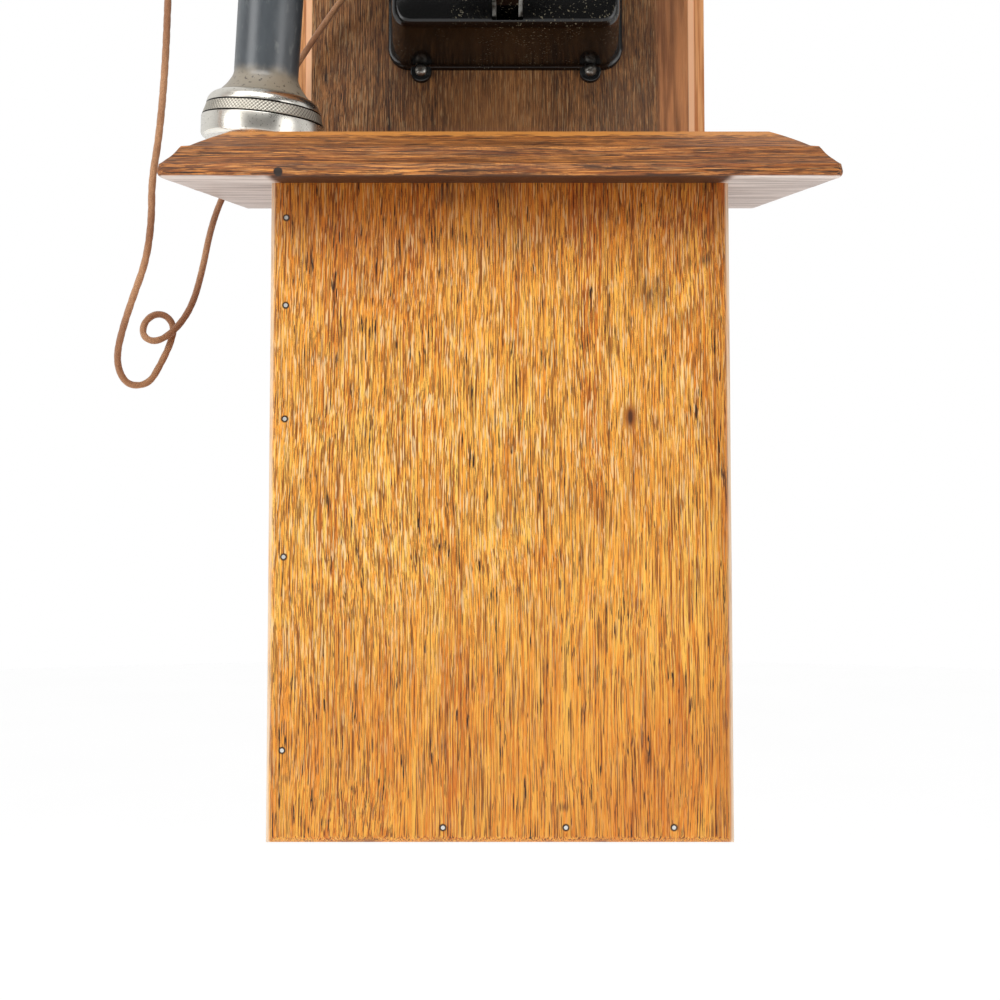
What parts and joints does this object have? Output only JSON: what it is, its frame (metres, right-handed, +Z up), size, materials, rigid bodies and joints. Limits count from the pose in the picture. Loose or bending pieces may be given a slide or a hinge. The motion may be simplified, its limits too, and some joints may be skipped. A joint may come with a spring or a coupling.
{
  "type": "wall telephone",
  "caption": "Magneto wall telephone with ringer box, tilting transmitter, sloping writing shelf over a battery box, and a receiver on a side hook.",
  "frame": {"origin": "centre of the four wall-screw holes, on the wall plane", "axes": "+X to the right seen from the front, +Y into the wall, +Z up"},
  "size_m": [0.3624, 0.249, 0.85],
  "materials": {
    "backboard_oak": "varnished oak, darkened",
    "box_oak": "varnished oak",
    "front_oak": "golden varnished oak",
    "shelf_oak": "worn varnished oak",
    "nickel": "worn nickel plate",
    "cell_wrapper": "paper wrapper",
    "brass": "dull brass",
    "steel": "plain steel",
    "coil_wire": "silk-covered wire",
    "magnet_steel": "red enamel",
    "iron": "bare iron",
    "black_wood": "ebonised",
    "hard_rubber": "dulled hard rubber",
    "japan_black": "gloss black japan",
    "cord_cotton": "braided brown cotton"
  },
  "bodies": {
    "root": {"backboard": "backboard_oak", "battery_sides": "box_oak", "battery_bottom": "box_oak", "battery_front": "front_oak", "front_brads": "nickel", "writing_shelf": "shelf_oak", "dry_cells": "cell_wrapper", "cell_terminals": "brass", "ringer_box_left_side": "box_oak", "ringer_box_right_side": "box_oak", "ringer_box_floor": "box_oak", "ringer_box_top": "box_oak", "hinge_fixed_leaves": "brass", "generator_shelf": "box_oak", "generator_frame": "brass", "magnets": "magnet_steel", "pole_pieces": "iron", "crank_bushing": "brass", "hook_bracket": "steel", "pivot_pins": "steel", "contact_springs": "brass", "line_posts": "brass", "transmitter_case": "japan_black", "case_screws": "steel", "case_grommet": "hard_rubber", "induction_winding": "coil_wire", "induction_core": "iron", "arm_bracket": "steel", "cord_case_strand": "cord_cotton"},
    "door": {"ringer_box_door": "front_oak", "hinge_door_leaves": "brass", "door_knob": "nickel", "gong_left": "nickel", "gong_right": "nickel", "gong_posts": "steel", "ringer_frame": "steel", "ringer_coils": "coil_wire"},
    "clapper": {"clapper": "brass"},
    "crank": {"crank_shaft": "steel", "drive_gear": "brass", "crank_arm": "nickel", "crank_handle": "black_wood"},
    "armature": {"armature": "iron", "armature_winding": "coil_wire", "pinion": "steel"},
    "receiver": {"receiver_cap": "nickel", "receiver_ring": "nickel", "receiver_shell": "hard_rubber", "receiver_tail": "nickel", "receiver_terminal": "brass", "receiver_magnet": "magnet_steel", "receiver_diaphragm": "iron", "cord_receiver_strand": "cord_cotton"},
    "hook": {"hook_lever": "nickel"},
    "transmitter": {"transmitter_arm": "japan_black", "transmitter_cup": "japan_black", "transmitter_face": "nickel", "mouthpiece": "hard_rubber", "transmitter_diaphragm": "iron", "carbon_button": "brass"}
  },
  "joints": [
    {"name": "door_hinge", "type": "hinge", "parent": "root", "child": "door", "pos_m": [0.0995, -0.16815, 0.12], "axis": [0, 0, 1], "range_deg": [0, 100]},
    {"name": "clapper_swing", "type": "hinge", "parent": "door", "child": "clapper", "pos_m": [0, -0.1503, 0.14], "axis": [0, 1, 0], "range_deg": [-2.8, 2.8], "stiffness_Nm_per_rad": 0.05},
    {"name": "crank_turn", "type": "hinge", "parent": "root", "child": "crank", "pos_m": [0.1, -0.085, 0.18915], "axis": [1, 0, 0], "continuous": true},
    {"name": "armature_turn", "type": "hinge", "parent": "root", "child": "armature", "pos_m": [0, -0.085, 0.144], "axis": [1, 0, 0], "continuous": true},
    {"name": "receiver_lift", "type": "slide", "parent": "root", "child": "receiver", "axis": [-0.9397, 0, 0.3419], "range_m": [0, 0.12]},
    {"name": "hook_rise", "type": "hinge", "parent": "root", "child": "hook", "pos_m": [-0.052, -0.1366, 0.03004], "axis": [0, 1, 0], "range_deg": [0, 9]},
    {"name": "arm_tilt", "type": "hinge", "parent": "root", "child": "transmitter", "pos_m": [0.00425, -0.058, -0.071], "axis": [1, 0, 0], "range_deg": [-7, 25]}
  ],
  "couplings": [
    {"joint": "armature_turn", "follows": "crank_turn", "ratio": -5},
    {"joint": "hook_rise", "follows": "receiver_lift", "rad_per_m": 1.3}
  ]
}
